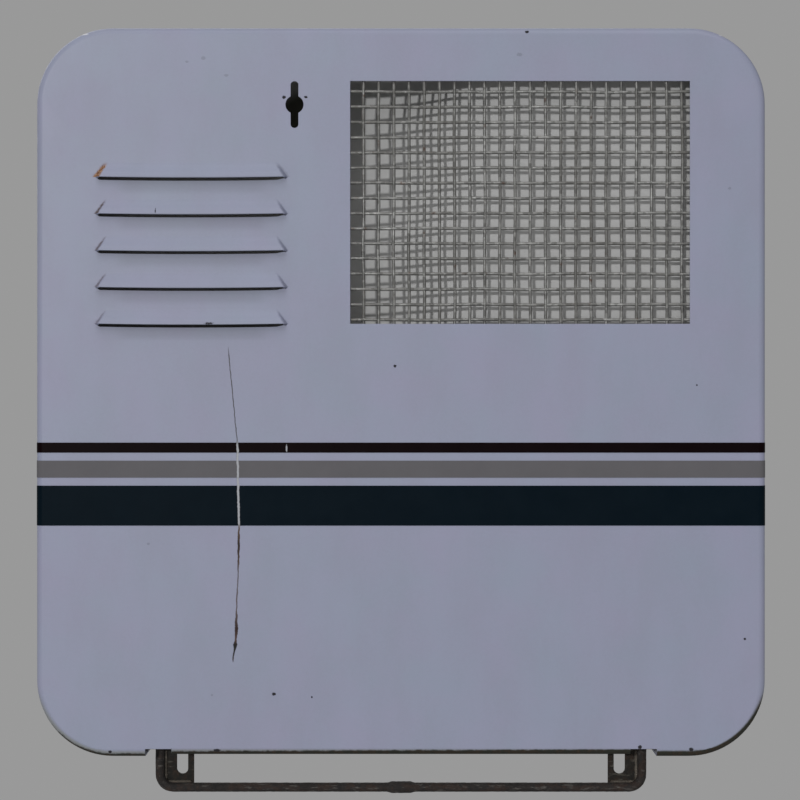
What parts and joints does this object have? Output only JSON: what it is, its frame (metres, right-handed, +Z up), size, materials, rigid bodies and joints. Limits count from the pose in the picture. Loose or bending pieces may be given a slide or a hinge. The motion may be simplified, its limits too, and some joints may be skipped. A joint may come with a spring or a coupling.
{
  "type": "water heater access door",
  "caption": "Pressed steel access door for a caravan water heater, with rain louvres, a wire cloth exhaust window, vinyl stripes and a bent rod hinge with slotted tabs.",
  "frame": {"origin": "middle of the left tab's slot, on the back face of that tab, which is screwed to the heater's frame", "axes": "+X to the right as seen from outside the caravan, +Y into the wall, +Z up"},
  "size_m": [0.3053, 0.0255, 0.3232],
  "materials": {
    "white_paint": "old semi-gloss enamel on pressed steel, with scratches and rust at the edges",
    "inside_paint": "old enamel, spot-welded steel strip",
    "galvanised_wire": "weathered zinc coating",
    "maroon_vinyl": "glossy stripe film",
    "grey_vinyl": "glossy stripe film",
    "navy_vinyl": "glossy stripe film",
    "rusty_steel": "dark rusted steel rod and plate with worn highlights"
  },
  "bodies": {
    "hinge": {"hinge_bail": "rusty_steel", "hinge_tab_left": "rusty_steel", "hinge_tab_right": "rusty_steel"},
    "door": {"door_panel": "white_paint", "exhaust_screen": "galvanised_wire", "screen_strip_top": "inside_paint", "screen_strip_bottom": "inside_paint", "screen_strip_left": "inside_paint", "screen_strip_right": "inside_paint", "pivot_ear_left": "inside_paint", "pivot_ear_right": "inside_paint", "stripe_maroon": "maroon_vinyl", "stripe_grey": "grey_vinyl", "stripe_navy": "navy_vinyl"}
  },
  "joints": [
    {"name": "door_swing", "type": "hinge", "parent": "hinge", "child": "door", "pos_m": [0.0932, -0.004, 0.0063], "axis": [1, 0, 0], "range_deg": [0, 75]}
  ]
}
